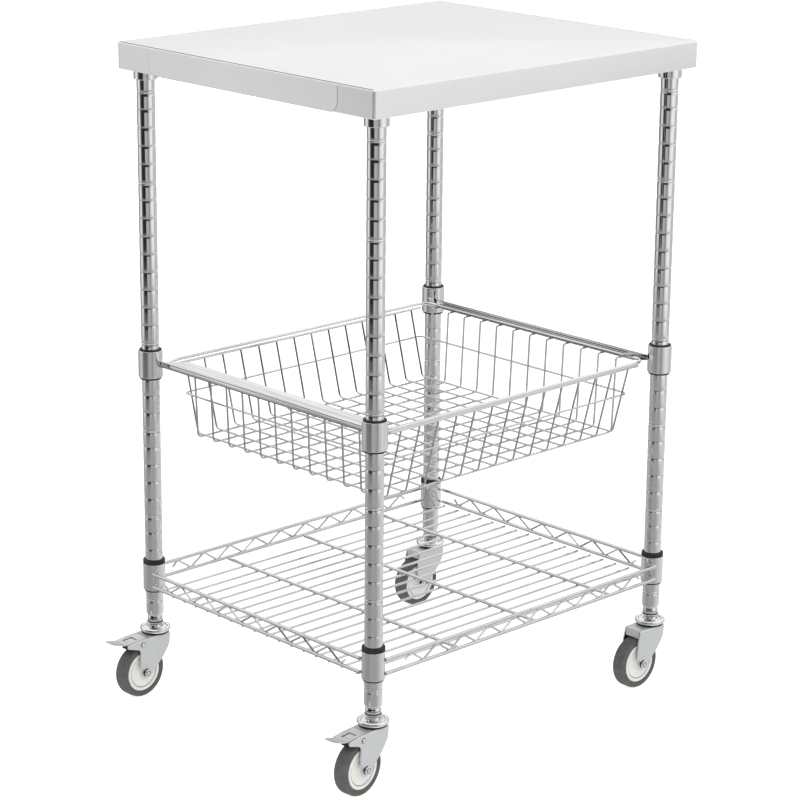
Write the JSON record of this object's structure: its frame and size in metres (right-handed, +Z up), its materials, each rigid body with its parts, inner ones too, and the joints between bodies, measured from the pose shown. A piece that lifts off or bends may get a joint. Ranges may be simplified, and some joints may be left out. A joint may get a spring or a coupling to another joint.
{
  "type": "kitchen island cart",
  "caption": "Rolling kitchen island cart with a stainless worktop, grooved chrome posts, a pull-out wire basket, a wire shelf and swivel casters.",
  "frame": {"origin": "on the floor, under the centre of the whole cart's outline in plan; the centre between the four posts lies 30 mm from it towards +X, because the brake pedals reach past the worktop towards -X", "axes": "+Z up, +X along the worktop's long side, -Y is the side that the basket pulls out of"},
  "size_m": [0.6699, 0.512, 0.945],
  "materials": {
    "worktop_steel": "satin stainless sheet",
    "core_board": "raw particle board",
    "post_chrome": "polished chrome plate",
    "rail_chrome": "chrome plate",
    "basket_wire": "chrome plated wire",
    "shelf_wire": "chrome plated wire",
    "caster_chrome": "polished chrome plate",
    "zinc": "bright zinc plate, satin",
    "sleeve_plastic": "black moulded plastic",
    "tyre_rubber": "matt grey thermoplastic rubber",
    "hub_plastic": "off-white moulded plastic"
  },
  "bodies": {
    "frame": {"worktop_skin": "worktop_steel", "worktop_core": "core_board", "shelf_mat": "shelf_wire", "shelf_truss_front": "shelf_wire", "shelf_truss_right": "shelf_wire", "shelf_truss_back": "shelf_wire", "shelf_truss_left": "shelf_wire", "slide_rail_left": "rail_chrome", "slide_rail_right": "rail_chrome", "post_socket_front_left": "post_chrome", "post_front_left": "post_chrome", "post_insert_front_left": "zinc", "basket_sleeve_front_left": "sleeve_plastic", "shelf_sleeve_front_left": "sleeve_plastic", "caster_head_front_left": "caster_chrome", "post_socket_front_right": "post_chrome", "post_front_right": "post_chrome", "post_insert_front_right": "zinc", "basket_sleeve_front_right": "sleeve_plastic", "shelf_sleeve_front_right": "sleeve_plastic", "caster_head_front_right": "caster_chrome", "post_socket_rear_left": "post_chrome", "post_rear_left": "post_chrome", "post_insert_rear_left": "zinc", "basket_sleeve_rear_left": "sleeve_plastic", "shelf_sleeve_rear_left": "sleeve_plastic", "caster_head_rear_left": "caster_chrome", "post_socket_rear_right": "post_chrome", "post_rear_right": "post_chrome", "post_insert_rear_right": "zinc", "basket_sleeve_rear_right": "sleeve_plastic", "shelf_sleeve_rear_right": "sleeve_plastic", "caster_head_rear_right": "caster_chrome"},
    "basket": {"basket_floor": "basket_wire", "basket_front": "basket_wire", "basket_back": "basket_wire", "basket_left": "basket_wire", "basket_right": "basket_wire", "basket_rim": "basket_wire"},
    "caster_front_left": {"caster_fork_front_left": "zinc", "axle_bolt_front_left": "zinc", "brake_pin_front_left": "zinc"},
    "wheel_front_left": {"tyre_front_left": "tyre_rubber", "hub_front_left": "hub_plastic"},
    "brake_front_left": {"brake_pedal_front_left": "zinc"},
    "caster_front_right": {"caster_fork_front_right": "zinc", "axle_bolt_front_right": "zinc"},
    "wheel_front_right": {"tyre_front_right": "tyre_rubber", "hub_front_right": "hub_plastic"},
    "caster_rear_left": {"caster_fork_rear_left": "zinc", "axle_bolt_rear_left": "zinc", "brake_pin_rear_left": "zinc"},
    "wheel_rear_left": {"tyre_rear_left": "tyre_rubber", "hub_rear_left": "hub_plastic"},
    "brake_rear_left": {"brake_pedal_rear_left": "zinc"},
    "caster_rear_right": {"caster_fork_rear_right": "zinc", "axle_bolt_rear_right": "zinc"},
    "wheel_rear_right": {"tyre_rear_right": "tyre_rubber", "hub_rear_right": "hub_plastic"}
  },
  "joints": [
    {"name": "basket_slide", "type": "slide", "parent": "frame", "child": "basket", "axis": [0, -1, 0], "range_m": [0, 0.3]},
    {"name": "caster_swivel_front_left", "type": "hinge", "parent": "frame", "child": "caster_front_left", "pos_m": [-0.247, -0.2305, 0.0884], "axis": [0, 0, 1], "continuous": true},
    {"name": "wheel_spin_front_left", "type": "hinge", "parent": "caster_front_left", "child": "wheel_front_left", "pos_m": [-0.27783, -0.23374, 0.038], "axis": [-0.1045, 0.9945, 0], "continuous": true},
    {"name": "brake_press_front_left", "type": "hinge", "parent": "caster_front_left", "child": "brake_front_left", "pos_m": [-0.2828, -0.23426, 0.0817], "axis": [0.1045, -0.9945, 0], "range_deg": [0, 12]},
    {"name": "caster_swivel_front_right", "type": "hinge", "parent": "frame", "child": "caster_front_right", "pos_m": [0.307, -0.2305, 0.0884], "axis": [0, 0, 1], "continuous": true},
    {"name": "wheel_spin_front_right", "type": "hinge", "parent": "caster_front_right", "child": "wheel_front_right", "pos_m": [0.276, -0.2305, 0.038], "axis": [0, 1, 0], "continuous": true},
    {"name": "caster_swivel_rear_left", "type": "hinge", "parent": "frame", "child": "caster_rear_left", "pos_m": [-0.247, 0.2305, 0.0884], "axis": [0, 0, 1], "continuous": true},
    {"name": "wheel_spin_rear_left", "type": "hinge", "parent": "caster_rear_left", "child": "wheel_rear_left", "pos_m": [-0.27798, 0.22942, 0.038], "axis": [-0.0349, 0.9994, 0], "continuous": true},
    {"name": "brake_press_rear_left", "type": "hinge", "parent": "caster_rear_left", "child": "brake_rear_left", "pos_m": [-0.28298, 0.22924, 0.0817], "axis": [0.0349, -0.9994, 0], "range_deg": [0, 12]},
    {"name": "caster_swivel_rear_right", "type": "hinge", "parent": "frame", "child": "caster_rear_right", "pos_m": [0.307, 0.2305, 0.0884], "axis": [0, 0, 1], "continuous": true},
    {"name": "wheel_spin_rear_right", "type": "hinge", "parent": "caster_rear_right", "child": "wheel_rear_right", "pos_m": [0.276, 0.2305, 0.038], "axis": [0, 1, 0], "continuous": true}
  ]
}
